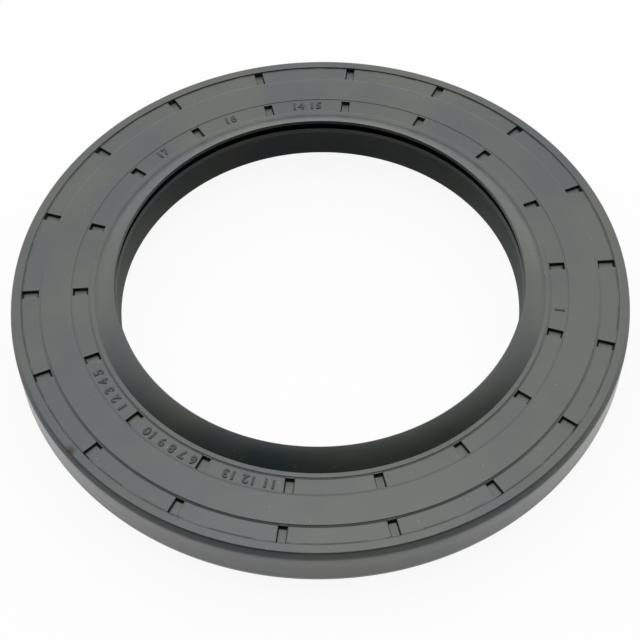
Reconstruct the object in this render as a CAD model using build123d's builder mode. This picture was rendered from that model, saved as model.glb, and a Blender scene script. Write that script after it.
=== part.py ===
from build123d import *
import os
from math import radians, tan

# A radial shaft seal: a moulded rubber ring bonded round an L-shaped steel case, with two dust
# lips on the air side, a sealing lip on the oil side, and a garter spring that holds the
# sealing lip to the shaft. It is round about Z, the shaft's axis. The origin is the centre of
# the oil-side plane, on which the seal lies, and +Z points to the air side.
# Lengths are in millimetres and angles in degrees.

# What the seal fits
shaft_diameter = 102.0
housing_diameter = 155.0
body_width = 12.0  # from the oil-side plane to the air-side face

# Outside wall
lead_in_height = 1.4  # chamfer that enters the housing first
lead_in_depth = 0.35
air_taper_height = 2.0  # slight taper below the air-side face
air_taper_depth = 0.3
face_edge_round = 0.35

# Air-side face: two ring-shaped recesses, each crossed by pockets that bare the steel
outer_rim_width = 2.6
outer_recess_width = 4.8
outer_recess_depth = 0.3
inner_rim_width = 1.2
inner_recess_width = 4.55
inner_recess_depth = 0.25
pocket_count = 18
pocket_width = 2.2

# Steel case
face_cover = 1.15  # rubber over the flange, and so the depth of the pockets
wall_cover = 1.3  # rubber over the outside of the case
end_cover = 0.9  # rubber under the case's lower edge
case_thickness = 1.5
case_bend_radius = 1.2  # inside of the bend
flange_reach = 0.75  # from the inner recess in to the flange's inner edge

# Dust lips: the first stands on the air-side face, the second lies in the bore under it
dust_lip_interference = 0.25  # radial, so that both touch the shaft lightly
dust_lip_rise = 3.05  # above the air-side face
dust_lip_span = 5.65  # from its foot in to its tip
dust_lip_crown = 17.0  # radius of its arched upper side
dust_lip_slope = 37.0  # of its underside
dust_tip_cut = 0.4  # both tips are cut at a slant, this far outwards
dust_tip_height = 0.55  # height of the cut
second_lip_drop = 2.85  # from the top of the first lip's cut down to the second's
second_lip_slope = 34.0  # of its upper side
second_tip_height = 0.9

# Between the lips
groove_depth = 3.45  # from the tips out to the wall of the groove between the dust lips
groove_round = 0.4
hollow_depth = 2.75  # from the tips out to the bottom of the hollow over the sealing lip
hollow_round = 0.5

# Sealing lip
lip_interference = 0.4  # radial, taken up when the lip stretches over the shaft
lip_height = 3.4  # from the oil-side plane to the middle of the contact band
lip_band = 0.4
air_angle = 29.0  # between the shaft and the lip's air-side flank
oil_angle = 50.0  # between the shaft and its oil-side flank
nose_gap = 0.9  # the nose stays this far above the oil-side plane
nose_chamfer = 0.8
neck_thickness = 2.0  # radial, where the lip bends
liner_thickness = 1.2  # rubber under the flange, beside the lip's root
liner_width = 3.6

# Garter spring and its seat
spring_thickness = 2.6  # outer diameter of the close-wound coil
spring_clearance = 0.1
spring_offset = 0.4  # from the contact band up to the spring
seat_wall = 1.7  # rubber between the contact band and the seat
seat_mouth = 2.2  # narrower than the spring, so that the seat holds it
seat_lip = 0.25  # rubber past the seat, on both sides of its mouth

# Radii and heights that follow from them
outer_radius = housing_diameter / 2
lip_radius = shaft_diameter / 2 - lip_interference
dust_radius = shaft_diameter / 2 - dust_lip_interference
dust_foot_radius = dust_radius + dust_lip_span
groove_radius = dust_radius + groove_depth
hollow_radius = dust_radius + hollow_depth
inner_recess_inner = dust_foot_radius + inner_rim_width
inner_recess_outer = inner_recess_inner + inner_recess_width
outer_recess_outer = outer_radius - air_taper_depth - outer_rim_width
outer_recess_inner = outer_recess_outer - outer_recess_width
flange_inner_radius = inner_recess_inner - flange_reach
case_outer_radius = outer_radius - wall_cover
case_inner_radius = case_outer_radius - case_thickness
seat_radius = spring_thickness / 2 + spring_clearance
spring_radius = lip_radius + seat_wall + seat_radius
head_radius = spring_radius + seat_radius + seat_lip

dust_lip_top = body_width + dust_lip_rise
second_lip_top = dust_lip_top - second_lip_drop
flange_top = body_width - face_cover
flange_bottom = flange_top - case_thickness
liner_bottom = flange_bottom - liner_thickness
spring_height = lip_height + spring_offset
head_top = spring_height + seat_radius + seat_lip
neck_height = (head_top + liner_bottom) / 2
band_top = lip_height + lip_band / 2
band_bottom = lip_height - lip_band / 2


def flank_radius(height):
    """Radius of the sealing lip's air-side flank at a height above its contact band."""
    return lip_radius + (height - band_top) * tan(radians(air_angle))


# The case is one stamping: a flange, a bend and a wall of one thickness
outer_corner = (case_outer_radius, flange_top)
inner_corner = (case_inner_radius, flange_bottom)
with BuildPart() as steel_case:
    with BuildSketch(Plane.XZ) as case_section:
        with BuildLine():
            Polyline(
                (flange_inner_radius, flange_top),
                outer_corner,
                (case_outer_radius, end_cover),
                (case_inner_radius, end_cover),
                inner_corner,
                (flange_inner_radius, flange_bottom),
                close=True,
            )
        make_face()
        fillet(
            case_section.vertices().sort_by_distance(outer_corner)[0],
            radius=case_bend_radius + case_thickness,
        )
        fillet(
            case_section.vertices().sort_by_distance(inner_corner)[0],
            radius=case_bend_radius,
        )
    revolve(axis=Axis.Z)
steel_case.part.label = "steel_case"

# The spring is the ring that its close-wound coil fills
with BuildPart() as garter_spring:
    with BuildSketch(Plane.XZ):
        with Locations((spring_radius, spring_height)):
            Circle(spring_thickness / 2)
    revolve(axis=Axis.Z)
garter_spring.part.label = "garter_spring"

# The rubber's outline takes in the steel, which is then cut out of it. So the two meet all
# over their bond, and the case is left bare towards the oil.
liner_radius = flange_inner_radius + liner_width
face_edge = (outer_radius - air_taper_depth, body_width)
dust_foot = (dust_foot_radius, body_width)
dust_crest = (dust_radius + dust_tip_cut, dust_lip_top)
dust_edge_height = dust_lip_top - dust_tip_height
groove_top = (
    groove_radius,
    dust_edge_height - groove_depth * tan(radians(dust_lip_slope)),
)
groove_bottom = (
    groove_radius,
    second_lip_top - (groove_depth - dust_tip_cut) * tan(radians(second_lip_slope)),
)
hollow_bottom = (
    hollow_radius,
    band_top + (hollow_radius - lip_radius) / tan(radians(air_angle)),
)
head_corner = (head_radius, head_top)
neck = (flank_radius(neck_height) + neck_thickness, neck_height)
root = (head_radius, liner_bottom)
with BuildPart() as rubber_body:
    with BuildSketch(Plane.XZ) as rubber_section:
        with BuildLine():
            Polyline(
                (outer_radius - lead_in_depth, 0),
                (outer_radius, lead_in_height),
                (outer_radius, body_width - air_taper_height),
                face_edge,
                dust_foot,
            )
            RadiusArc(dust_foot, dust_crest, -dust_lip_crown)
            Polyline(
                dust_crest,
                (dust_radius, dust_edge_height),
                groove_top,
                groove_bottom,
                (dust_radius + dust_tip_cut, second_lip_top),
                (dust_radius, second_lip_top - second_tip_height),
                hollow_bottom,
                (lip_radius, band_top),
                (lip_radius, band_bottom),
                (lip_radius + (band_bottom - nose_gap) * tan(radians(oil_angle)), nose_gap),
                (head_radius - nose_chamfer, nose_gap),
                (head_radius, nose_gap + nose_chamfer),
                head_corner,
            )
            ThreePointArc(head_corner, neck, root)
            Polyline(
                root,
                (liner_radius - liner_thickness, liner_bottom),
                (liner_radius, flange_bottom),
                inner_corner,
                (case_inner_radius, 0),
                (outer_radius - lead_in_depth, 0),
            )
        make_face()
        for corner, radius in (
            (face_edge, face_edge_round),
            (groove_top, groove_round),
            (groove_bottom, groove_round),
            (hollow_bottom, hollow_round),
        ):
            fillet(rubber_section.vertices().sort_by_distance(corner)[0], radius=radius)
        with Locations((spring_radius, spring_height)):
            Circle(seat_radius, mode=Mode.SUBTRACT)
            Rectangle(
                2 * (head_radius - spring_radius),
                seat_mouth,
                align=(Align.MIN, Align.CENTER),
                mode=Mode.SUBTRACT,
            )
    revolve(axis=Axis.Z)
    add(steel_case.part, mode=Mode.SUBTRACT)

    for inner, outer, depth in (
        (inner_recess_inner, inner_recess_outer, inner_recess_depth),
        (outer_recess_inner, outer_recess_outer, outer_recess_depth),
    ):
        with BuildSketch(Plane.XY.offset(body_width)):
            Circle(outer)
            Circle(inner, mode=Mode.SUBTRACT)
        extrude(amount=-depth, mode=Mode.SUBTRACT)
        # Pockets left by the studs that hold the case in the mould
        with BuildSketch(Plane.XY.offset(body_width)):
            with PolarLocations((inner + outer) / 2, pocket_count):
                Rectangle(2 * (outer - inner), pocket_width)
            Circle(outer, mode=Mode.INTERSECT)
            Circle(inner, mode=Mode.SUBTRACT)
        extrude(amount=-face_cover, mode=Mode.SUBTRACT)
rubber_body.part.label = "rubber_body"

os.makedirs("parts", exist_ok=True)
export_step(rubber_body.part, "parts/rubber_body.step")
export_step(steel_case.part, "parts/steel_case.step")
export_step(garter_spring.part, "parts/garter_spring.step")
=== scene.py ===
# %% [markdown]
# # A radial shaft seal, dressed for its picture
#
# The seal is a black rubber ring moulded round a steel stamping. It lies on a pale table with its
# air side up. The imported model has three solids: the rubber, the case and the spring. This lesson
# builds them again to the same sizes, as fine surfaces with rounded edges, real wire turns and
# moulded rubber, and sets the camera and the light.
#
# Shapes are worked out in millimetres, about the shaft's axis, and turned to metres at the end.

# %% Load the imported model, the frame that everything is fitted to
import bpy
import numpy as np
from mathutils import Matrix, Vector


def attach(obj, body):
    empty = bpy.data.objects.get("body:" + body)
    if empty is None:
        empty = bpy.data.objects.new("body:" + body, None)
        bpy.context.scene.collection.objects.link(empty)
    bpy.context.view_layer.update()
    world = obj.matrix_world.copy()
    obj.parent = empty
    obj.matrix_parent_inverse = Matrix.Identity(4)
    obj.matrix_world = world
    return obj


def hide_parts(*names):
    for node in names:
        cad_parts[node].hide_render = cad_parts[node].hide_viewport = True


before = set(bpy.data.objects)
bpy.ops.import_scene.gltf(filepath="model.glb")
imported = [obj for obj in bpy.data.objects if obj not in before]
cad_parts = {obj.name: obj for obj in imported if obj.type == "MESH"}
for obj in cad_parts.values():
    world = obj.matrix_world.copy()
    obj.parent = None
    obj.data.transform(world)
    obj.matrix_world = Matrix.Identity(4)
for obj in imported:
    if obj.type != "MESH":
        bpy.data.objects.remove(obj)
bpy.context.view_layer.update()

# %% [markdown]
# ## Sizes
#
# A seal is named by its shaft, its housing and its width, so those come first. The others are
# the section's own: how deep the recesses are, how thick the rubber and the steel are, and where
# the sealing lip, the two dust lips and the spring lie. They are the sizes of the imported solids.

# %% Driving sizes of the seal, in millimetres and degrees
SHAFT, HOUSING, WIDTH = 102.0, 155.0, 12.0
LEAD_IN = (0.35, 1.4)  # depth and height of the chamfer that enters the housing first
AIR_TAPER = 0.3  # depth of the taper under the air-side face
RIM_WIDTH, OUTER_RECESS, OUTER_DEPTH = 2.6, 4.8, 0.3  # the outer rim; the recess's width and depth
INNER_RIM, INNER_RECESS, INNER_DEPTH = 1.2, 4.55, 0.25  # beside the dust lip's foot, in the same way
POCKETS, POCKET_WIDTH = 18, 2.2  # the number in each recess, and how wide one is

# The steel case and the rubber over it
FACE_COVER, WALL_COVER, END_COVER = 1.15, 1.3, 0.9  # over the flange, round the wall, under its end
STEEL, STEEL_BEND, FLANGE_REACH = 1.5, 1.2, 0.75  # sheet, inner bend radius, reach past the recess

# The two dust lips, the groove between them and the hollow under the second
DUST_INTERFERENCE, DUST_RISE = 0.25, 3.05  # on the shaft, and above the face
DUST_SPAN, DUST_CROWN = 5.65, 17.0  # from edge to foot, and the radius of the crown between them
DUST_SLOPE, TIP_CUT, TIP_HEIGHT = 37.0, 0.4, 0.55  # slope of its underside; its cut edge
SECOND_DROP, SECOND_SLOPE, SECOND_TIP = 2.85, 34.0, 0.9  # under the first; upper slope; edge height
GROOVE_DEPTH, GROOVE_ROUND = 3.45, 0.4
HOLLOW_DEPTH, HOLLOW_ROUND = 2.75, 0.5

# The sealing lip with its nose and neck, and the liner of rubber under the flange
INTERFERENCE, LIP_HEIGHT, LIP_BAND = 0.4, 3.4, 0.4  # on the shaft, above the foot; contact width
AIR_ANGLE, OIL_ANGLE = 29.0, 50.0  # between each flank and the shaft's axis
NOSE_GAP, NOSE_CHAMFER, NECK = 0.9, 0.8, 2.0  # above the foot; its back corner; the neck's thickness
LINER, LINER_WIDTH = 1.2, 3.6  # its thickness and its width

# The spring's coil, and the seat that holds it behind the lip
COIL, COIL_CLEARANCE, COIL_OFFSET = 2.6, 0.1, 0.4  # diameter, room round it, height above the lip
SEAT_WALL, SEAT_MOUTH, SEAT_LIP = 1.7, 2.2, 0.25  # rubber before it, its opening, rubber round it

print("A seal for a", SHAFT, "mm shaft in a", HOUSING, "mm housing,", WIDTH, "mm wide")

# %% Radii and heights that follow from them
outer_r = HOUSING / 2
lip_r = SHAFT / 2 - INTERFERENCE
dust_r = SHAFT / 2 - DUST_INTERFERENCE
foot_r = dust_r + DUST_SPAN
groove_r, hollow_r = dust_r + GROOVE_DEPTH, dust_r + HOLLOW_DEPTH
inner_recess = (foot_r + INNER_RIM, foot_r + INNER_RIM + INNER_RECESS)
rim_r = outer_r - AIR_TAPER - RIM_WIDTH
outer_recess = (rim_r - OUTER_RECESS, rim_r)
flange_r = inner_recess[0] - FLANGE_REACH
case_r = outer_r - WALL_COVER
case_inner_r = case_r - STEEL
bend_r = case_inner_r - STEEL_BEND
seat = COIL / 2 + COIL_CLEARANCE
spring_r = lip_r + SEAT_WALL + seat
head_r = spring_r + seat + SEAT_LIP
mouth_r = spring_r + np.sqrt(seat**2 - SEAT_MOUTH**2 / 4)

dust_top = WIDTH + DUST_RISE
second_top = dust_top - SECOND_DROP
flange_top = WIDTH - FACE_COVER
flange_low = flange_top - STEEL
liner_z = flange_low - LINER
spring_z = LIP_HEIGHT + COIL_OFFSET
head_z = spring_z + seat + SEAT_LIP
neck_z = (head_z + liner_z) / 2
band = (LIP_HEIGHT - LIP_BAND / 2, LIP_HEIGHT + LIP_BAND / 2)

MM = 0.001

# %% [markdown]
# ## Camera
#
# A product picture of a ring is usually taken with a short telephoto lens from above and in
# front, so that the face shows as a wide oval and the outside wall as a thin band. The camera is
# placed by its height angle, its distance and a small turn about the shaft's axis, and rolls by
# one degree, as a hand-set tripod does.

# %% Camera
PICTURE_WIDTH = 640  # pixels
FOCAL_PIXELS = 1513.7  # the lens, as a number of those pixels
SENSOR = 36.0  # mm
CLIP = (0.01, 20)  # metres
CAMERA_TURN = -2.38  # degrees about the shaft's axis
CAMERA_HEIGHT = 53.83  # degrees above the horizon
CAMERA_ROLL = -1.17  # degrees about the line of sight
CAMERA_DISTANCE = 379.4  # mm, along the view from the centre of the air-side face
CAMERA_LIFT = -10.46  # mm, along the picture's own vertical
CAMERA_SHIFT = -0.13  # mm, along its horizontal

turn, tilt, roll = np.radians([CAMERA_TURN, CAMERA_HEIGHT, CAMERA_ROLL])
about_axis = np.array([[np.cos(turn), -np.sin(turn), 0], [np.sin(turn), np.cos(turn), 0], [0, 0, 1]])
right = about_axis @ [1, 0, 0]
up = about_axis @ [0, np.sin(tilt), np.cos(tilt)]
back = about_axis @ [0, -np.cos(tilt), np.sin(tilt)]
eye = np.array([0, 0, WIDTH]) + CAMERA_DISTANCE * back + CAMERA_LIFT * up + CAMERA_SHIFT * right
side = np.cos(roll) * right + np.sin(roll) * up
over = -np.sin(roll) * right + np.cos(roll) * up

camera_data = bpy.data.cameras.new("camera")
camera_data.sensor_width = SENSOR
camera_data.lens = FOCAL_PIXELS / PICTURE_WIDTH * SENSOR
camera_data.clip_start, camera_data.clip_end = CLIP
camera = bpy.data.objects.new("camera", camera_data)
bpy.context.scene.collection.objects.link(camera)
camera.matrix_world = Matrix.LocRotScale(
    Vector(eye * MM), Matrix(np.column_stack([side, over, back]).tolist()), None
)
bpy.context.scene.camera = camera
print("Camera at", [round(c, 1) for c in eye], "mm, lens", round(camera_data.lens, 2), "mm")

# %% [markdown]
# ## Two small helpers
#
# Colours are written as the hex values that a picture program shows. Blender mixes light in
# linear numbers, so one function turns hex to linear. A second one adds a shader node, sets its
# values and joins its inputs, so that a material reads as a list of what it is made of.

# %% Colour and node helpers
def linear(hex_colour):
    """sRGB hex to linear: v / 12.92 below 0.04045, else ((v + 0.055) / 1.055) to the power 2.4."""
    v = np.array([int(hex_colour[i : i + 2], 16) for i in (1, 3, 5)]) / 255
    rgb = np.where(v <= 0.04045, v / 12.92, ((v + 0.055) / 1.055) ** 2.4)
    return (*rgb.tolist(), 1.0)


def add_node(tree, kind, links=None, **settings):
    """Adds a node. A setting names one of its attributes. A link names or counts one of its inputs
    and gives the socket that feeds it, or its value."""
    node = tree.nodes.new(kind)
    for name, value in settings.items():
        setattr(node, name, value)
    for key, value in (links or {}).items():
        if isinstance(value, bpy.types.NodeSocket):
            tree.links.new(value, node.inputs[key])
        else:
            node.inputs[key].default_value = value
    return node


def new_material(name):
    """An empty node material and its tree."""
    material = bpy.data.materials.new(name)
    material.use_nodes = True
    material.node_tree.nodes.clear()
    return material, material.node_tree


print("Mid grey #808080 is", round(linear("#808080")[0], 3), "in linear light")

# %% [markdown]
# ## Table
#
# The table is white and goes on beyond the picture. Its white comes from its colour: to the
# camera most of it glows at strength 1, which is white, and the rest is a matt surface that still
# catches the ring's soft shadow. Glossy rays see the matt table with a glow added, which fades
# towards the shaft's axis, where the ring shades the table.

# %% Table: its plane
TABLE_SIZE = 6.0  # metres
TABLE_GAP = 0.00005  # metres, so that the table and the seal's foot don't share one plane

corner = TABLE_SIZE / 2
table_mesh = bpy.data.meshes.new("table")
table_mesh.from_pydata(
    [(-corner, -corner, -TABLE_GAP), (corner, -corner, -TABLE_GAP),
     (corner, corner, -TABLE_GAP), (-corner, corner, -TABLE_GAP)],
    [], [(0, 1, 2, 3)],
)
table = bpy.data.objects.new("table", table_mesh)
bpy.context.scene.collection.objects.link(table)
print("Table:", TABLE_SIZE, "m wide,", 1000 * TABLE_GAP, "mm under the seal")

# %% Table: its white paper
EYE_GLOW = 0.92  # share of the table's white that no shadow darkens for the camera
GLOSS_GLOW = 0.8  # glow that glossy rays see on top of the lit table
SHADE_EDGE = (0.052, 0.072)  # metres from the axis, from no glow to all of it

paper, tree = new_material("white_table_paper")
path = add_node(tree, "ShaderNodeLightPath")
matt = add_node(tree, "ShaderNodeBsdfDiffuse", {"Color": linear("#f4f4f4")})
white = add_node(tree, "ShaderNodeEmission", {"Color": linear("#ffffff"), "Strength": 1.0})
for_eye = add_node(tree, "ShaderNodeMixShader", {0: EYE_GLOW, 1: matt.outputs[0], 2: white.outputs[0]})
mirror = add_node(
    tree, "ShaderNodeMath", {0: path.outputs["Is Glossy Ray"], 1: path.outputs["Is Transmission Ray"]},
    operation="MAXIMUM",
)
spot = add_node(tree, "ShaderNodeNewGeometry").outputs["Position"]
from_axis = add_node(tree, "ShaderNodeVectorMath", {0: spot}, operation="LENGTH").outputs["Value"]
outside = add_node(
    tree, "ShaderNodeMapRange",
    {"Value": from_axis, "From Min": SHADE_EDGE[0], "From Max": SHADE_EDGE[1], "To Max": GLOSS_GLOW},
    interpolation_type="SMOOTHSTEP",
)
share = add_node(
    tree, "ShaderNodeMath", {0: mirror.outputs[0], 1: outside.outputs["Result"]}, operation="MULTIPLY"
)
shine = add_node(
    tree, "ShaderNodeEmission", {"Color": linear("#ffffff"), "Strength": share.outputs[0]}
)
for_gloss = add_node(tree, "ShaderNodeAddShader", {0: matt.outputs[0], 1: shine.outputs[0]})
seen = add_node(
    tree, "ShaderNodeMixShader",
    {0: path.outputs["Is Camera Ray"], 1: for_gloss.outputs[0], 2: for_eye.outputs[0]},
)
add_node(tree, "ShaderNodeOutputMaterial", {"Surface": seen.outputs[0]})
table_mesh.materials.append(paper)
print(paper.name, "has", len(tree.nodes), "nodes")

# %% [markdown]
# ## Room and lamp
#
# Black rubber has almost no colour of its own, so what the eye reads as its grey is the room's
# reflection. The room is pale behind the ring, where the flat face mirrors it to the camera, and
# dark on the camera's side, which keeps the near lips dark. Low down it is pale all round. One
# soft lamp hangs almost overhead. Together they light a flat surface at a plain level, so a
# colour at the table's height renders about as it is written.

# %% Room
ROOM_DARK, ROOM_PALE = 0.03, 1.7  # brightness of the room on the camera's side and behind
ROOM_FADE = (-0.27, 0.44)  # from dark to pale: cosine of the angle to the view's far side
ROOM_LOW, LOW_TOP = 0.9, 0.25  # brightness at the horizon, and how high it reaches

world = bpy.data.worlds.new("room")
world.use_nodes = True
bpy.context.scene.world = world
tree = world.node_tree
tree.nodes.clear()
path = add_node(tree, "ShaderNodeLightPath")
direction = add_node(tree, "ShaderNodeTexCoord")
away = add_node(
    tree, "ShaderNodeVectorMath",
    {0: direction.outputs["Generated"], 1: (float(-np.sin(turn)), float(np.cos(turn)), 0.0)},
    operation="DOT_PRODUCT",
)
fade = add_node(
    tree, "ShaderNodeMapRange",
    {"Value": away.outputs["Value"], "From Min": ROOM_FADE[0], "From Max": ROOM_FADE[1],
     "To Min": ROOM_DARK, "To Max": ROOM_PALE},
    interpolation_type="SMOOTHSTEP",
)
upwards = add_node(tree, "ShaderNodeSeparateXYZ", {0: direction.outputs["Generated"]})
low = add_node(
    tree, "ShaderNodeMapRange",
    {"Value": upwards.outputs["Z"], "From Min": 0.0, "From Max": LOW_TOP,
     "To Min": ROOM_LOW, "To Max": 0.0},
)
both = add_node(
    tree, "ShaderNodeMath", {0: fade.outputs["Result"], 1: low.outputs["Result"]}, operation="MAXIMUM"
)
level = add_node(
    tree, "ShaderNodeMix", {"Factor": path.outputs["Is Camera Ray"], "A": both.outputs[0], "B": 1.0}
)
sky = add_node(
    tree, "ShaderNodeBackground", {"Color": linear("#ffffff"), "Strength": level.outputs["Result"]}
)
add_node(tree, "ShaderNodeOutputWorld", {"Surface": sky.outputs[0]})
print("Room from", ROOM_DARK, "to", ROOM_PALE, "times white")

# %% Lamp
LAMP_HEIGHT = 78.0  # degrees above the horizon
LAMP_DISTANCE = 1.2  # metres
LAMP_SIZE = 0.85  # metres across
LAMP_RADIANCE = 1.55  # brightness of its disc, where 1 is white

lamp_data = bpy.data.lights.new("soft_lamp", "AREA")
lamp_data.shape = "DISK"
lamp_data.size = LAMP_SIZE
lamp_data.energy = LAMP_RADIANCE * np.pi * (np.pi * LAMP_SIZE**2 / 4)  # radiance x pi x area
lamp = bpy.data.objects.new("soft_lamp", lamp_data)
bpy.context.scene.collection.objects.link(lamp)
height = np.radians(LAMP_HEIGHT)
towards = about_axis @ [0, np.cos(height), np.sin(height)]
lamp.location = Vector(towards * LAMP_DISTANCE)
lamp.rotation_euler = Vector(towards).to_track_quat("Z", "Y").to_euler()
print("Lamp of", round(lamp_data.energy, 1), "W at", [round(c, 2) for c in lamp.location])

# %% [markdown]
# ## Curves of the section
#
# The seal is turned about its axis, so most of its shape is one closed outline of radius and
# height. Three functions draw its parts: an arc between two points, a run of corners with each
# one rounded, and a grid that carries an outline round the axis. Moulded rubber has no sharp
# outer edge, so corners get real radii, and these small curves catch the light.

# %% Arc and rounded corners
def arc(start, end, radius, count):
    """The arc from start to end. Its centre lies on the left of the chord for a positive radius, at
    the square root of (radius squared - half chord squared), and its angle runs evenly."""
    start, end = np.array(start, float), np.array(end, float)
    chord = end - start
    length = np.hypot(*chord)
    left = np.array([-chord[1], chord[0]]) / length
    centre = (start + end) / 2 + np.sign(radius) * left * np.sqrt(radius**2 - length**2 / 4)
    first = np.arctan2(*(start - centre)[::-1])
    sweep = (np.arctan2(*(end - centre)[::-1]) - first + np.pi) % (2 * np.pi) - np.pi
    angles = first + sweep * np.linspace(0, 1, count)
    return centre + abs(radius) * np.column_stack([np.cos(angles), np.sin(angles)])


def rounded(corners, radii, steps=4, hold=0.12):
    """A run of corners, each replaced by the arc that touches both its sides. The arc starts at
    radius / tan(half the corner's angle) from the corner. A holding point on each side keeps the
    shading of the flats even. A radius of 0 leaves its corner as it is."""
    points = np.array(corners, float)
    out = [points[:1]]
    for before, corner, after, radius in zip(points[:-2], points[1:-1], points[2:], radii):
        if radius == 0:
            out.append(corner[None])
            continue
        a, b = before - corner, after - corner
        a, b = a / np.hypot(*a), b / np.hypot(*b)
        half = np.arccos(np.clip(a @ b, -1, 1)) / 2
        reach = radius / np.tan(half)
        turn_side = np.sign(a[0] * b[1] - a[1] * b[0])
        bend = arc(corner + reach * a, corner + reach * b, -turn_side * radius, count=steps + 1)
        out.append(np.vstack([corner + (reach + hold) * a, bend, corner + (reach + hold) * b]))
    return np.vstack([*out, points[-1:]])


sample = rounded([(0, 0), (5, 0), (5, 5)], [1.0], steps=2)
print("A 1 mm round on a square corner:", sample.round(2).tolist())

# %% [markdown]
# ## The rubber body's outline
#
# The rubber is one moulding, so its outline is one closed line. It runs up the outside wall, in
# over the face with its two recesses, up and over the first dust lip, back in and out over the
# second one, down the sealing lip, round the spring's seat, out under the flange, and back round
# the buried steel. Each point keeps two heights: one between the pockets, and one inside them,
# where the face's floor drops to the steel. The recess walls lean, as a mould's must, so each
# pocket starts a little way in from its recess's edge.

# %% Rubber outline: the two recesses in the face
EDGE = 0.14  # small radius of every moulded edge on the face
EDGE_HOLD = 3 * EDGE  # how far off a recess's edge a row holds the land flat
OUTER_LEANS = (0.42, 0.12)  # how far the outer recess's inner and outer walls lean
INNER_LEANS = (0.32, 0.34)  # and those of the inner recess
FOOT, HOLD = 0.06, 0.15  # softness of a wall's foot, and how far off a row holds the floor flat
LAND_HOLD = 2.5  # how far from a recess a row holds the land between the recesses flat


def plain(points):
    """The height in a pocket is the height beside it, wherever no pocket reaches."""
    points = np.atleast_2d(np.array(points, float))
    return np.column_stack([points, points[:, 1]])


def recess_rows(inner, outer, depth, leans, stops=()):
    """Rows across one recess, from its outer edge in: a rounded edge, a leaning wall, the floor,
    and the same again. The rounded edge at angle t lies EDGE * (1 - sin t) out and
    EDGE * (1 - cos t) down. Stops are more radii at which the floor needs a row."""
    t = np.radians([0, 30, 60, 90])
    side, drop = EDGE * (1 - np.sin(t)), EDGE * (1 - np.cos(t))
    lip_out = plain(np.column_stack([outer + side, WIDTH - drop]))
    lip_in = plain(np.column_stack([inner - side, WIDTH - drop])[::-1])
    low = WIDTH - depth
    foot_out, foot_in = outer - leans[1], inner + leans[0]
    ends = (foot_out - FOOT, foot_out - HOLD, *stops, foot_in + HOLD, foot_in + FOOT)
    floor = np.array([[r, low, flange_top] for r in ends])
    hold_out, hold_in = plain([outer + EDGE_HOLD, WIDTH]), plain([inner - EDGE_HOLD, WIDTH])
    feet = [np.array([[r, low + FOOT / 2, low + FOOT / 2]]) for r in (foot_out, foot_in)]
    return np.vstack([hold_out, lip_out, feet[0], floor, feet[1], lip_in, hold_in])


outer_rows = recess_rows(*outer_recess, OUTER_DEPTH, OUTER_LEANS, stops=[bend_r])
inner_rows = recess_rows(*inner_recess, INNER_DEPTH, INNER_LEANS)
face_lands = [(outer_recess[0] - LAND_HOLD, WIDTH), (inner_recess[1] + LAND_HOLD, WIDTH)]
print("Rows across the recesses:", len(outer_rows), "and", len(inner_rows))

# %% Rubber outline: the outside wall, with its curved shoulder
LEAD_ROUND, SHOULDER_EDGE = 0.5, 0.5  # radii where the lead-in meets the wall, and at the face
CORNER = 0.15  # radius at the foot
SHOULDER_LOW, SHOULDER_TOP = 8.4, 11.35  # heights between which the taper curves inwards
SHOULDER_IN, SHOULDER_ROUND = 0.4, 11.1  # how far in it gets, and its radius
SHOULDER_RUN = 0.18  # how far in the last bevel runs, from there up to the face
FOOT_HOLD, RIM_HOLD = 0.6, 0.9  # how far off the rows lie that hold the foot and the rim flat

shoulder = arc((outer_r, SHOULDER_LOW), (outer_r - SHOULDER_IN, SHOULDER_TOP), SHOULDER_ROUND, count=9)
wall = rounded(
    [(case_inner_r + FOOT_HOLD, 0), (outer_r - LEAD_IN[0], 0), (outer_r, LEAD_IN[1]), *shoulder,
     (outer_r - SHOULDER_IN - SHOULDER_RUN, WIDTH), (rim_r + RIM_HOLD, WIDTH)],
    [CORNER, LEAD_ROUND, *[0] * len(shoulder), SHOULDER_EDGE],
)
print("Outside wall:", len(wall), "points")

# %% Rubber outline: the dust lips and the sealing lip
TIP_ROUND, LIP_ROUND = 0.06, 0.05  # radii of the dust lips' edges and of the sealing lip's
NOSE_ROUND, MOUTH_ROUND = 0.15, 0.08  # of the lip's oil-side corners and of the seat's mouth
LIP_HOLD = 0.04  # how far from each round its holding point lies


def flank(height):
    """Radius of the sealing lip's upper flank: a cone that opens by AIR_ANGLE from the band."""
    return lip_r + (height - band[1]) * np.tan(np.radians(AIR_ANGLE))


crest = (dust_r + TIP_CUT, dust_top)
crown = arc((foot_r, WIDTH), crest, DUST_CROWN, count=14)[:-1]
groove_top = dust_top - TIP_HEIGHT - GROOVE_DEPTH * np.tan(np.radians(DUST_SLOPE))
groove_low = second_top - (GROOVE_DEPTH - TIP_CUT) * np.tan(np.radians(SECOND_SLOPE))
hollow_low = band[1] + (hollow_r - lip_r) / np.tan(np.radians(AIR_ANGLE))
nose_r = lip_r + (band[0] - NOSE_GAP) * np.tan(np.radians(OIL_ANGLE))
inside = rounded(
    [crown[-1], crest, (dust_r, dust_top - TIP_HEIGHT), (groove_r, groove_top), (groove_r, groove_low),
     (dust_r + TIP_CUT, second_top), (dust_r, second_top - SECOND_TIP), (hollow_r, hollow_low),
     (lip_r, band[1]), (lip_r, band[0]),
     (nose_r, NOSE_GAP), (head_r - NOSE_CHAMFER, NOSE_GAP), (head_r, NOSE_GAP + NOSE_CHAMFER),
     (head_r, spring_z - SEAT_MOUTH / 2), (mouth_r, spring_z - SEAT_MOUTH / 2)],
    [TIP_ROUND, TIP_ROUND, GROOVE_ROUND, GROOVE_ROUND, TIP_ROUND, TIP_ROUND, HOLLOW_ROUND,
     LIP_ROUND, LIP_ROUND, NOSE_ROUND, NOSE_ROUND, NOSE_ROUND, MOUTH_ROUND],
    hold=LIP_HOLD,
)[1:]
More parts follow.
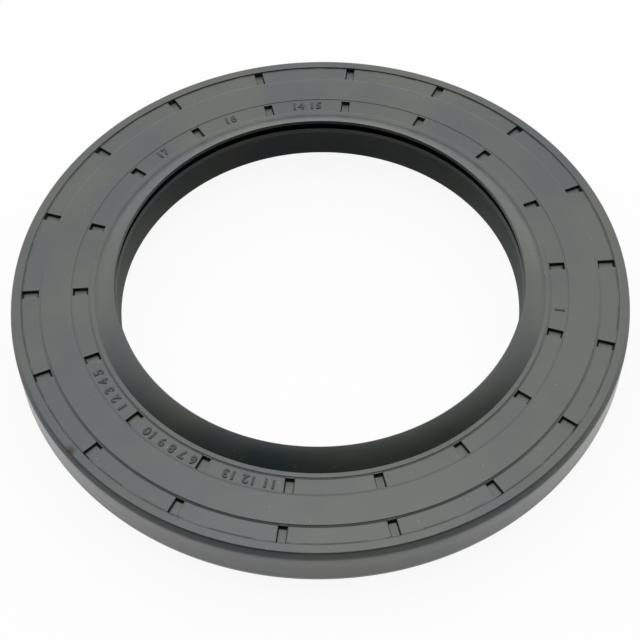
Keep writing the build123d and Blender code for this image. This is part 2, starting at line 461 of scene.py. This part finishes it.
print("Lips:", len(crown) + len(inside), "points; first dust lip's top at", dust_top, "mm")

# %% Rubber outline: the spring's seat, the thin neck, and the side that is bonded to the steel
open_angle = np.degrees(np.arcsin(SEAT_MOUTH / 2 / seat))
t = -np.radians(np.linspace(open_angle, 360 - open_angle, 25))[1:]
seat_wall = np.column_stack([spring_r + seat * np.cos(t), spring_z + seat * np.sin(t)])
head = [(head_r, spring_z + SEAT_MOUTH / 2), (head_r, head_z)]
neck_depth = head_r - flank(neck_z) - NECK
neck_round = ((liner_z - head_z) ** 2 / 4 + neck_depth**2) / (2 * neck_depth)
neck = arc((head_r, head_z), (head_r, liner_z), -neck_round, count=13)[1:]
liner_r = flange_r + LINER_WIDTH
liner = [(liner_r - LINER, liner_z), (liner_r, flange_low)]
bond_in = [(flange_r, flange_low), (flange_r, flange_top)]
pocket_ends = [(inner_recess[0] + INNER_LEANS[0] + FOOT, inner_recess[1] - INNER_LEANS[1] - FOOT),
               (outer_recess[0] + OUTER_LEANS[0] + FOOT, bend_r)]
under_face = [(r, flange_top) for ends in pocket_ends for r in ends]
bend_round = STEEL_BEND + STEEL
bend_end = (case_r, flange_top - bend_round)
bond_bend = arc((bend_r, flange_top), bend_end, -bend_round, count=9)[1:]
bond_out = [(case_r, END_COVER), (case_inner_r, END_COVER), (case_inner_r, 0)]

outline = np.vstack([
    plain(wall), outer_rows, plain(face_lands), inner_rows, plain(crown), plain(inside),
    plain(seat_wall), plain(head), plain(neck), plain(liner), plain(bond_in),
    plain(under_face), plain(bond_bend), plain(bond_out),
])
print("Rubber outline:", len(outline), "rows, up to", round(outline[:, 1].max(), 2), "mm high")

# %% [markdown]
# ## Eighteen sectors with a pocket in each
#
# The mould's pins leave eighteen pockets in each recess. A Boolean modifier could cut them, but it
# leaves long thin faces that shade badly. So the outline goes round the axis in eighteen equal
# sectors. Columns near a pocket keep a fixed distance from its middle line, which keeps its sides
# parallel at every radius, and the others share out what is left of the sector. A pocket's floor
# is the steel, so the rubber has a real hole there: its floor faces are left out, and the hole's
# edge is joined to the bonded side.

# %% Columns of one sector
DRAFT = 0.05  # the pocket is a little narrower at its floor
SPREAD = np.array([0.03, 0.16, 0.33, 0.5, 0.67, 0.84, 1.0])  # columns beyond it, in half sectors

# Four values for each column: its distance from the pocket's middle line, its share of the way on
# to the sector's far end, whether it sinks to the pocket's floor, and its dip at the rounded edge.
half_pocket = POCKET_WIDTH / 2
t = np.radians([0, 45, 90])
floor_side = np.array([0.0, 1.0]) * (half_pocket - DRAFT)
edge_side = half_pocket + EDGE * (1 - np.cos(t))
half_side = np.concatenate([floor_side, edge_side, np.full(len(SPREAD), edge_side[-1])])
half_spread = np.concatenate([np.zeros(len(floor_side) + len(edge_side)), SPREAD])
half_sink = np.concatenate([np.ones(len(floor_side)), np.zeros(len(edge_side) + len(SPREAD))])
half_dip = np.concatenate([0 * floor_side, EDGE * (1 - np.sin(t)), 0 * SPREAD])

mirrored = slice(-2, 0, -1)  # the other half, without the middle column and the sector's far end
sign = np.concatenate([-np.ones(len(half_side) - 2), np.ones(len(half_side))])
column_side, column_spread, column_sink, column_dip = [
    np.concatenate([half[mirrored], half]) for half in (half_side, half_spread, half_sink, half_dip)
]
print("Columns of one sector:", len(column_side))

# %% Turn the outline round the axis, sector by sector
pocket_turns = 2 * np.pi / POCKETS * np.arange(POCKETS)


def sector_angles(radius):
    """Angle of each column at each radius: arcsin(distance / radius) beside a pocket, and an even
    share of the rest of the half sector beyond it."""
    edge = np.arcsin(column_side / radius[:, None])
    return sign * (edge * (1 - column_spread) + np.pi / POCKETS * column_spread)


def ring_grid(radius, height, sector):
    """Points of a closed grid: x = radius cos(angle), y = radius sin(angle), z = height, for each
    row of the outline and each column of every sector."""
    angle = (sector[:, None, :] + pocket_turns[:, None]).reshape(len(radius), -1)
    high = np.tile(height, POCKETS)
    wide = radius[:, None]
    return np.stack([wide * np.cos(angle), wide * np.sin(angle), high], axis=2)


pocket_rows = (outline[:, 1] != outline[:, 2])[:, None]
heights = outline[:, 1:2] * (1 - column_sink) + outline[:, 2:3] * column_sink
heights = heights - pocket_rows * column_dip
rubber_points = ring_grid(outline[:, 0], heights, sector_angles(outline[:, 0]))
print("Rubber grid:", rubber_points.shape[:2], "rows and columns")

# %% Faces of a closed grid, and a mesh object from them
def grid_faces(rows, columns):
    """Faces of a grid that closes on itself both ways. Each joins a point to the next column and
    the next row, in the order that makes it point outwards."""
    index = np.arange(rows * columns).reshape(rows, columns)
    beside = np.roll(index, -1, axis=1)
    above, above_beside = np.roll(index, -1, axis=0), np.roll(beside, -1, axis=0)
    return np.stack([index, beside, above_beside, above], axis=2)


def mesh_piece(name, points, faces, sharp_angle=38):
    """A mesh object from points in millimetres. Points that no face uses are left out, and edges
    past the sharp angle are shaded sharp."""
    used, faces = np.unique(faces, return_inverse=True)
    faces = faces.reshape(-1, 4)
    mesh = bpy.data.meshes.new(name)
    mesh.vertices.add(len(used))
    mesh.vertices.foreach_set("co", (points.reshape(-1, 3)[used] * MM).astype(np.float32).ravel())
    mesh.loops.add(faces.size)
    mesh.loops.foreach_set("vertex_index", faces.astype(np.int32).ravel())
    mesh.polygons.add(len(faces))
    mesh.polygons.foreach_set("loop_start", np.arange(0, faces.size, 4, dtype=np.int32))
    mesh.polygons.foreach_set("use_smooth", np.ones(len(faces), bool))
    mesh.update(calc_edges=True)
    mesh.set_sharp_from_angle(angle=np.radians(sharp_angle))
    piece = bpy.data.objects.new(name, mesh)
    bpy.context.scene.collection.objects.link(piece)
    print(name, "has", len(used), "points and", len(faces), "faces")
    return piece


print("The first face of a 3 by 4 grid joins points", grid_faces(3, 4)[0, 0].tolist())

# %% Open the pockets and join their edges to the bonded side
CLOSE = 1e-9  # mm, far less than the distance between any two rows


def rows_at(radius, height_column):
    """The rows with this radius whose height in that column of the outline is the flange's top."""
    off = abs(outline[:, [0, height_column]] - [radius, flange_top])
    return (off < CLOSE).all(axis=1).nonzero()[0]


faces = grid_faces(len(outline), rubber_points.shape[1])
vertex_of = np.arange(rubber_points.shape[0] * rubber_points.shape[1])
vertex_grid = vertex_of.reshape(rubber_points.shape[:2])
sunk = np.tile(column_sink == 1, POCKETS)
between_sunk = sunk & np.roll(sunk, -1)
keep = np.ones(faces.shape[:2], bool)
for inner, outer in pocket_ends:
    (top_inner, low_inner), (top_outer, low_outer) = rows_at(inner, 2), rows_at(outer, 2)
    keep[top_outer:top_inner, between_sunk] = False  # rows run inwards on the face
    keep[low_inner:low_outer, between_sunk] = False  # and outwards under it
    vertex_of[vertex_grid[low_inner, sunk]] = vertex_grid[top_inner, sunk]
    vertex_of[vertex_grid[low_outer, sunk]] = vertex_grid[top_outer, sunk]
rubber = mesh_piece("rubber_moulding", rubber_points, vertex_of[faces[keep]])

# %% [markdown]
# ## Rubber creep in the pockets
#
# A pin of the mould holds the steel while the rubber is pressed in, and leaves each pocket. Round
# the pin's end a little rubber creeps over the steel, so the foot of every wall is a fillet. Its
# colour, darker than the rubber's, is painted shade for the pocket's corners.
# A bevel can't make it, because the rubber and the steel are two meshes. So one fillet is a frame
# of its own: a rectangle for each step of a quarter circle, joined into a closed ring whose back
# and underside are sunk into the rubber and the steel.

# %% Fillets at the feet of the pocket walls
CREEP_END, CREEP_SIDE, CREEP_HIGH = 0.42, 0.16, 0.34  # reach from the ends, from the sides, height
CREEP_BACK, CREEP_SUNK = 0.2, 0.15  # the hidden back and underside, as shares of reach and height

t = np.radians(np.linspace(0, 90, 6))
reach = np.concatenate([[-CREEP_BACK], 1 - np.cos(t), [1.0, -CREEP_BACK]])
rise = np.concatenate([[1.0], 1 - np.sin(t), [-CREEP_SUNK, -CREEP_SUNK]]) * CREEP_HIGH
half_floor = half_pocket - DRAFT


def pocket_frame(inner, outer):
    """Rings of four corners: the radius runs from inner + reach to outer - reach, the side from
    -half + reach to half - reach, and the height falls by sin t while the reach grows by
    1 - cos t. The distance along the pocket is the square root of (radius squared - side squared)."""
    near, far = inner + reach * CREEP_END, outer - reach * CREEP_END
    wide = half_floor - reach * CREEP_SIDE
    radius = np.stack([near, near, far, far], axis=1)
    side = np.stack([wide, -wide, -wide, wide], axis=1)
    along = np.sqrt(radius**2 - side**2)
    high = np.broadcast_to((flange_top + rise)[:, None], side.shape)
    return np.stack([along, side, high], axis=2)


outer_end = outer_recess[1] - OUTER_LEANS[1] - FOOT
frames = np.stack([pocket_frame(*pocket_ends[0]), pocket_frame(pocket_ends[1][0], outer_end)])
x, y, z = np.moveaxis(frames[:, None], -1, 0)
cosine, sine = [wave(pocket_turns)[None, :, None, None] for wave in (np.cos, np.sin)]
turned_x, turned_y = x * cosine - y * sine, x * sine + y * cosine
creep_points = np.stack([turned_x, turned_y, np.broadcast_to(z, turned_x.shape)], axis=-1)
steps_round = creep_points.shape[2]
one_ring = grid_faces(steps_round, 4).reshape(-1, 4)
shift = steps_round * 4 * np.arange(2 * POCKETS)[:, None, None]
creep = mesh_piece("rubber_creep", creep_points, (one_ring + shift).reshape(-1, 4), sharp_angle=50)

# %% [markdown]
# ## Steel case
#
# The case is pressed from sheet, so it has one thickness all over, a round bend and a clean cut
# edge. It shows at the bottom of the pockets and from the oil side, where no rubber covers it.
# A Screw modifier could turn its outline, but the grid of faces is already at hand, so one
# function turns the outline with even columns.

# %% Steel case
CASE_COLUMNS = 288
FLANGE_HOLD = 4.0  # how far from the bend a row holds the flange flat
hold_r = bend_r - FLANGE_HOLD
case_outline = np.vstack([
    [(case_r, END_COVER)],
    arc(bend_end, (bend_r, flange_top), bend_round, count=10),
    [(hold_r, flange_top), (flange_r, flange_top), (flange_r, flange_low), (hold_r, flange_low)],
    arc((bend_r, flange_low), (case_inner_r, flange_low - STEEL_BEND), -STEEL_BEND, count=8),
    [(case_inner_r, END_COVER)],
])


def turned(profile, columns):
    """Points of an outline turned about the axis: x = r cos(angle), y = r sin(angle), z = height."""
    angle = 2 * np.pi * np.arange(columns) / columns
    r, z = profile[:, :1], profile[:, 1:2]
    high = np.broadcast_to(z, (len(r), columns))
    return np.stack([r * np.cos(angle), r * np.sin(angle), high], axis=2)


case = mesh_piece(
    "steel_stamping", turned(case_outline, CASE_COLUMNS), grid_faces(len(case_outline), CASE_COLUMNS)
)

# %% [markdown]
# ## Garter spring
#
# A garter spring is a close-wound coil of fine wire whose ends are screwed together into a ring.
# Its turns could be a modifier on one loop, but a formula is shorter: a point runs round the
# coil hundreds of times while it goes round the ring once, and a small circle of wire stands
# square to its path. The coil's turns touch, so their number is the ring's length over the wire.

# %% Garter spring
WIRE = 0.5  # its diameter
TURN_STEPS, WIRE_SIDES = 12, 6  # steps round one turn of the coil, and sides of the wire
coil_r = (COIL - WIRE) / 2
coil_turns = int(2 * np.pi * spring_r / WIRE)
steps = coil_turns * TURN_STEPS
round_ring = 2 * np.pi * np.arange(steps) / steps
round_coil = coil_turns * round_ring
outwards = np.stack([np.cos(round_ring), np.sin(round_ring), 0 * round_ring], axis=1)
along = np.stack([-np.sin(round_ring), np.cos(round_ring), 0 * round_ring], axis=1)
upwards = np.array([0.0, 0.0, 1.0])
spoke = np.cos(round_coil)[:, None] * outwards + np.sin(round_coil)[:, None] * upwards
centre_line = spring_r * outwards + coil_r * spoke + spring_z * upwards
swing = -np.sin(round_coil)[:, None] * outwards + np.cos(round_coil)[:, None] * upwards
heading = coil_turns * coil_r * swing + spring_r * along
heading /= np.linalg.norm(heading, axis=1)[:, None]
square_to_both = np.cross(heading, spoke)
round_wire = (2 * np.pi * np.arange(WIRE_SIDES) / WIRE_SIDES)[:, None]
wire_points = centre_line[:, None] + WIRE / 2 * (
    np.cos(round_wire) * spoke[:, None] + np.sin(round_wire) * square_to_both[:, None]
)
spring = mesh_piece("wire_coil", wire_points, grid_faces(steps, WIRE_SIDES), sharp_angle=80)
print("Spring:", coil_turns, "turns of", WIRE, "mm wire")

# %% [markdown]
# ## Raised numbers
#
# The inner recess carries small raised characters, which a mould maker cuts into the mould. Here
# they are plain counting numbers. A Curve modifier could bend live text round the ring, but a
# finished piece keeps its place in its mesh. So Blender's own letter shapes are made a mesh, and
# each point's distance along the line of text becomes an angle on the ring.

# %% Raised numbers
NUMBER_HEIGHT, NUMBER_RAISE, NUMBER_ROUND = 2.2, 0.17, 0.12  # height, relief, rounding of its edge
NUMBER_BOLD = 0.02  # widens each stroke on both sides, before it is rounded
NUMBER_SPACING = 1.15  # the gap between characters, as a share of the letter shapes' own
NUMBER_RING = 59.0  # radius of the line that the numbers stand on
CAP_SHARE = 0.7  # height of a figure as a share of the letter size
LETTER_STEPS, BEVEL_STEPS = 3, 2  # points on each curve of a figure, and steps round its edge
LETTER_SHARP = 60  # degrees, past which an edge of a figure is shaded sharp
MOULD_NUMBERS = [  # what is written, and the angle of its middle
    ("1 2 3 4 5", -149.9), ("6 7 8 9 10", -128.9), ("11 12 13", -108.9),
    ("14 15", 90.1), ("16", 110.6), ("17", 131.1), ("1", -13.1),
]


def letter_mesh(words):
    """A flat text made a mesh, centred on its line, raised and rounded by its curve's own bevel."""
    curve = bpy.data.curves.new("letters", "FONT")
    curve.body, curve.align_x = words, "CENTER"
    curve.size = NUMBER_HEIGHT / CAP_SHARE
    curve.extrude, curve.bevel_depth = NUMBER_RAISE - NUMBER_ROUND, NUMBER_ROUND
    curve.offset = NUMBER_BOLD
    curve.resolution_u, curve.bevel_resolution = LETTER_STEPS, BEVEL_STEPS
    curve.space_character = NUMBER_SPACING
    text = bpy.data.objects.new("letters", curve)
    mesh = bpy.data.meshes.new_from_object(text)
    bpy.data.objects.remove(text)
    return mesh


print("Letter size:", round(NUMBER_HEIGHT / CAP_SHARE, 2), "mm for figures", NUMBER_HEIGHT, "mm high")

# %% Bend the numbers round the ring
def on_ring(flat, middle):
    """Bends flat points: angle = middle - x / NUMBER_RING, radius = NUMBER_RING + y."""
    angle = np.radians(middle) - flat[:, 0] / NUMBER_RING
    radius = NUMBER_RING + flat[:, 1]
    floor = WIDTH - INNER_DEPTH
    return np.column_stack([radius * np.cos(angle), radius * np.sin(angle), floor + flat[:, 2]])


numbers_points, numbers_faces = [], []
for words, middle in MOULD_NUMBERS:
    letters = letter_mesh(words)
    flat = np.zeros(3 * len(letters.vertices), np.float32)
    letters.vertices.foreach_get("co", flat)
    start = sum(len(points) for points in numbers_points)
    numbers_points.append(on_ring(flat.reshape(-1, 3), middle))
    numbers_faces += [[start + v for v in face.vertices] for face in letters.polygons]
numbers_mesh = bpy.data.meshes.new("raised_numbers")
numbers_mesh.from_pydata((np.vstack(numbers_points) * MM).tolist(), [], numbers_faces)
numbers_mesh.set_sharp_from_angle(angle=np.radians(LETTER_SHARP))
numbers = bpy.data.objects.new("raised_numbers", numbers_mesh)
bpy.context.scene.collection.objects.link(numbers)
print("Raised numbers:", len(numbers_mesh.polygons), "faces")

# %% [markdown]
# ## Moulded nitrile rubber
#
# Nitrile rubber for seals is filled with carbon black, so its own colour is almost black and even.
# Its moulded skin is semi-matt: the eye sees a broad, soft reflection, and faintly blue and olive
# patches where wax has bloomed to the surface. A painted image could hold these, but noise that
# is worked out from a point's place needs no unwrapping and keeps its real size on every side.

# %% Nitrile rubber: black, with faint patches of bloomed wax
BLOOM_PATCHES = 45.0  # per metre, so that one is about 22 mm wide
BLOOM_BLUE, BLOOM_OLIVE = "#1f2b30", "#353a2f"

rubber_look, tree = new_material("moulded_nitrile_rubber")
place = add_node(tree, "ShaderNodeTexCoord").outputs["Object"]
patches = add_node(tree, "ShaderNodeTexNoise", {"Vector": place, "Scale": BLOOM_PATCHES, "Detail": 3.0})
tint = add_node(
    tree, "ShaderNodeMapRange", {"Value": patches.outputs["Fac"], "From Min": 0.38, "From Max": 0.62}
)
black = add_node(
    tree, "ShaderNodeMix",
    {"Factor": tint.outputs["Result"], 6: linear(BLOOM_BLUE), 7: linear(BLOOM_OLIVE)},
    data_type="RGBA",
)
print("Bloom: patches", round(1000 / BLOOM_PATCHES), "mm wide, from", BLOOM_BLUE, "to", BLOOM_OLIVE)

# %% [markdown]
# A broken brown line in the outer recess's corner is painted shade, where the corner lies in shade.
# Handling leaves marks too: one scraped place on the rim, and a few specks of dust. Each is a mask
# from 0 to 1 that depends on where a point lies: its distance from the axis for the line, from one
# spot for the scrape, and from the nearest of many scattered points for the dust.

# %% Nitrile rubber: the broken line of painted shade in the outer recess's corner
# A brown line, painted shade for the outer recess's shaded corner, with breaks in it
SHADE_LINE_RADIUS, SHADE_LINE_HALF = 74.3, 0.17  # of the line, and half its width
SHADE_LINE_BREAKS = 160.0  # per metre, so that the line breaks about every 6 mm
SHADE_LINE_MOST = 0.65  # how much of the rubber's colour it hides

level_place = add_node(tree, "ShaderNodeMapping", {"Vector": place, "Scale": (1000.0, 1000.0, 0.0)})
from_axis = add_node(tree, "ShaderNodeVectorMath", {0: level_place.outputs[0]}, operation="LENGTH")
on_line = add_node(
    tree, "ShaderNodeMath",
    {0: from_axis.outputs["Value"], 1: SHADE_LINE_RADIUS, 2: SHADE_LINE_HALF},
    operation="COMPARE",
)
breaks = add_node(tree, "ShaderNodeTexNoise", {"Vector": place, "Scale": SHADE_LINE_BREAKS})
unbroken = add_node(
    tree, "ShaderNodeMapRange",
    {"Value": breaks.outputs["Fac"], "From Min": 0.38, "From Max": 0.5, "To Max": SHADE_LINE_MOST},
)
shade_line = add_node(
    tree, "ShaderNodeMath", {0: on_line.outputs[0], 1: unbroken.outputs["Result"]}, operation="MULTIPLY"
)
print("Painted shade line:", 2 * SHADE_LINE_HALF, "mm wide at radius", SHADE_LINE_RADIUS, "mm")

# %% Nitrile rubber: the scraped place on the rim
SCRAPE_ANGLE, SCRAPE_RADIUS, SCRAPE_REACH = -142.4, 76.9, 2.3  # its middle, and how far it goes
SCRAPE_CORE = 0.4  # share of the reach inside which it is at its strongest
SCRAPE_GRAIN = 900.0  # per metre, so that its crumbs are about 1.1 mm wide

angle = np.radians(SCRAPE_ANGLE)
scrape_spot = (SCRAPE_RADIUS * np.cos(angle), SCRAPE_RADIUS * np.sin(angle), SHOULDER_TOP)
off_spot = add_node(
    tree, "ShaderNodeVectorMath", {0: place, 1: [c / 1000 for c in scrape_spot]}, operation="DISTANCE"
)
nearby = add_node(
    tree, "ShaderNodeMapRange",
    {"Value": off_spot.outputs["Value"], "From Min": SCRAPE_REACH / 1000,
     "From Max": SCRAPE_CORE * SCRAPE_REACH / 1000},
)
crumbs = add_node(tree, "ShaderNodeTexNoise", {"Vector": place, "Scale": SCRAPE_GRAIN})
torn = add_node(
    tree, "ShaderNodeMapRange", {"Value": crumbs.outputs["Fac"], "From Min": 0.36, "From Max": 0.5}
)
scrape = add_node(
    tree, "ShaderNodeMath",
    {0: nearby.outputs["Result"], 1: torn.outputs["Result"]},
    operation="MULTIPLY",
)
print("Scrape at", [round(float(c), 1) for c in scrape_spot], "mm")

# %% Nitrile rubber: the painted shade line, the scrape and the dust over its colour
DUST_CELL, DUST_SIZE = 3.0, 0.13  # mm between specks of dust, and the radius of one
DUST_CORE = 0.6  # share of the radius inside which a speck is at its palest
DUST_MOST = 0.8  # how much of the colour under it a speck hides
# The brown is painted shade in the recess's corner line, and the scrape's own colour on the rim
SHADE_AND_SCRAPE_BROWN, DUST_GREY = "#2b2417", "#a3a49c"

shade_line_and_scrape = add_node(tree, "ShaderNodeMath", {0: shade_line.outputs[0], 1: scrape.outputs[0]}, operation="MAXIMUM")
colour_with_shade_line_and_scrape = add_node(
    tree, "ShaderNodeMix",
    {"Factor": shade_line_and_scrape.outputs[0], 6: black.outputs[2], 7: linear(SHADE_AND_SCRAPE_BROWN)},
    data_type="RGBA",
)
scatter = add_node(tree, "ShaderNodeTexVoronoi", {"Vector": place, "Scale": 1000 / DUST_CELL})
speck = add_node(
    tree, "ShaderNodeMapRange",
    {"Value": scatter.outputs["Distance"], "From Min": DUST_SIZE / DUST_CELL,
     "From Max": DUST_CORE * DUST_SIZE / DUST_CELL, "To Min": 0.0, "To Max": DUST_MOST},
)
dusty = add_node(
    tree, "ShaderNodeMix",
    {"Factor": speck.outputs["Result"], 6: colour_with_shade_line_and_scrape.outputs[2], 7: linear(DUST_GREY)},
    data_type="RGBA",
)
print("Dust: a speck about every", DUST_CELL, "mm, up to", 2 * DUST_SIZE, "mm wide")

# %% [markdown]
# The skin's gloss changes a little in faint streaks that run round the wall, as the mould's
# turning marks do. The shoulder, where the flash was trimmed, has lost its skin and is matt, so
# it stays dark between the two flats that shine. The marks are as matt as the shoulder.

# %% Nitrile rubber: gloss, and the matt shoulder
STREAKS = (35.0, 35.0, 700.0)  # per metre: about 29 mm long and 1.4 mm high
SKIN_ROUGHNESS = (0.33, 0.4)  # in the glossiest and in the dullest streak
TRIM_INNER = 76.95  # radius past which the shoulder is trimmed
TRIM_LOW, TRIM_HIGH = 9.3, 10.2  # heights between which the skin gives way to the trimmed rubber
TRIM_ROUGHNESS = 0.78

drawn = add_node(tree, "ShaderNodeMapping", {"Vector": place, "Scale": STREAKS})
streaks = add_node(tree, "ShaderNodeTexNoise", {"Vector": drawn.outputs[0], "Scale": 1.0, "Detail": 4.0})
gloss = add_node(
    tree, "ShaderNodeMapRange",
    {"Value": streaks.outputs["Fac"], "From Min": 0.3, "From Max": 0.7,
     "To Min": SKIN_ROUGHNESS[0], "To Max": SKIN_ROUGHNESS[1]},
)
height = add_node(tree, "ShaderNodeSeparateXYZ", {"Vector": place})
trim_height = add_node(
    tree, "ShaderNodeMapRange",
    {"Value": height.outputs["Z"], "From Min": TRIM_LOW / 1000, "From Max": TRIM_HIGH / 1000},
)
past_face = add_node(
    tree, "ShaderNodeMath", {0: from_axis.outputs["Value"], 1: TRIM_INNER}, operation="GREATER_THAN"
)
trimmed = add_node(
    tree, "ShaderNodeMath",
    {0: trim_height.outputs["Result"], 1: past_face.outputs[0]},
    operation="MULTIPLY",
)
skinless = add_node(
    tree, "ShaderNodeMath", {0: shade_line_and_scrape.outputs[0], 1: trimmed.outputs[0]}, operation="MAXIMUM"
)
dull = add_node(
    tree, "ShaderNodeMix",
    {"Factor": skinless.outputs[0], 2: gloss.outputs["Result"], 3: TRIM_ROUGHNESS},
    data_type="FLOAT",
)
print("Roughness:", SKIN_ROUGHNESS, "on the skin and", TRIM_ROUGHNESS, "where it is gone")

# %% Nitrile rubber: the fine grain of its skin, and the finished material
GRAIN = 2600.0  # per metre, so that one is about 0.4 mm wide; the real one is finer than a pixel
GRAIN_STRENGTH, GRAIN_DEPTH = 0.5, 0.00002  # share of the full effect, and metres
RUBBER_IOR = 1.68  # nitrile rubber alone has about 1.52, and its carbon black makes it shine more

grain = add_node(tree, "ShaderNodeTexNoise", {"Vector": place, "Scale": GRAIN, "Detail": 2.0})
skin = add_node(
    tree, "ShaderNodeBump",
    {"Height": grain.outputs["Fac"], "Strength": GRAIN_STRENGTH, "Distance": GRAIN_DEPTH},
)
body = add_node(
    tree, "ShaderNodeBsdfPrincipled",
    {"Base Color": dusty.outputs[2], "Roughness": dull.outputs[0], "IOR": RUBBER_IOR,
     "Normal": skin.outputs["Normal"]},
)
add_node(tree, "ShaderNodeOutputMaterial", {"Surface": body.outputs[0]})
print(rubber_look.name, "has", len(tree.nodes), "nodes")

# %% [markdown]
# ## Rubber without its skin
#
# The creep tears when the mould's pins draw back, and the numbers come from a part of the mould
# that is cut by hand or eroded. Neither has the smooth skin, so the eye sees a wide, weak
# reflection: the numbers are a little duller than the recess round them. The creep is also
# coloured darker than the rubber, painted shade that keeps it dark in any light. One function
# makes both, because only colour and roughness differ.

# %% Matt rubber for the creep and the numbers
MATT_IOR = 1.48  # a torn surface reflects a little less than its rubber's 1.52


def matt_rubber(name, colour, roughness):
    """A plain rubber material of one colour and one roughness."""
    look, tree = new_material(name)
    body = add_node(
        tree, "ShaderNodeBsdfPrincipled",
        {"Base Color": linear(colour), "Roughness": roughness, "IOR": MATT_IOR},
    )
    add_node(tree, "ShaderNodeOutputMaterial", {"Surface": body.outputs[0]})
    print(name, "has colour", colour, "and roughness", roughness)
    return look


# The creep's colour is painted shade: darker than the rubber, for the pockets' shaded corners
creep_shade_look = matt_rubber("torn_matt_rubber_painted_shade", "#1b1d1c", 0.9)
number_look = matt_rubber("eroded_matt_rubber", "#2b2f2d", 0.44)

# %% [markdown]
# ## Phosphated steel
#
# The case is zinc-phosphated, so that the rubber bonds to it. The bath grows a crust of fine
# crystals on the steel: the eye sees a dull mid grey that sparkles only faintly, partly like a
# metal and partly like a mineral. A noise between two greys gives its mottling.

# %% Phosphated steel
CRYSTALS = 900.0  # per metre, so that a patch of them is about 1.1 mm wide; one is far finer
PHOSPHATE_DARK, PHOSPHATE_PALE = "#4a4d4a", "#60635f"

steel_look, tree = new_material("phosphated_steel")
place = add_node(tree, "ShaderNodeTexCoord").outputs["Object"]
crystals = add_node(tree, "ShaderNodeTexNoise", {"Vector": place, "Scale": CRYSTALS, "Detail": 4.0})
grey = add_node(
    tree, "ShaderNodeMix",
    {"Factor": crystals.outputs["Fac"], 6: linear(PHOSPHATE_DARK), 7: linear(PHOSPHATE_PALE)},
    data_type="RGBA",
)
body = add_node(
    tree, "ShaderNodeBsdfPrincipled",
    {"Base Color": grey.outputs[2], "Roughness": 0.42, "Metallic": 0.35},
)
add_node(tree, "ShaderNodeOutputMaterial", {"Surface": body.outputs[0]})
print(steel_look.name, "has", len(tree.nodes), "nodes, from", PHOSPHATE_DARK, "to", PHOSPHATE_PALE)

# %% [markdown]
# ## Spring wire
#
# The spring is wound from drawn carbon-steel wire. Drawing leaves it bright and smooth, so the
# eye sees a narrow highlight on every turn.

# %% Spring wire
WIRE_GREY = "#b9b8b4"

wire_look, tree = new_material("drawn_spring_wire")
body = add_node(
    tree, "ShaderNodeBsdfPrincipled",
    {"Base Color": linear(WIRE_GREY), "Roughness": 0.28, "Metallic": 1.0},
)
add_node(tree, "ShaderNodeOutputMaterial", {"Surface": body.outputs[0]})
print(wire_look.name, "has colour", WIRE_GREY)

# %% [markdown]
# ## Dress the pieces
#
# Each piece gets its material and rides on the imported part. Three of them take the place of a
# imported solid, which then no longer shows. The creep and the numbers only add to the rubber.

# %% Dress the pieces
for piece, look, node, slot in (
    (rubber, rubber_look, "rubber_body", "nitrile_rubber"),
    (case, steel_look, "steel_case", "case_steel"),
    (spring, wire_look, "garter_spring", "spring_wire"),
    (creep, creep_shade_look, None, "nitrile_rubber"),
    (numbers, number_look, None, "nitrile_rubber"),
):
    piece.data.materials.append(look)
    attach(piece, "root")
    if node:
        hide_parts(node)

bpy.context.scene.view_settings.view_transform = "Standard"  # shows colours as they are written
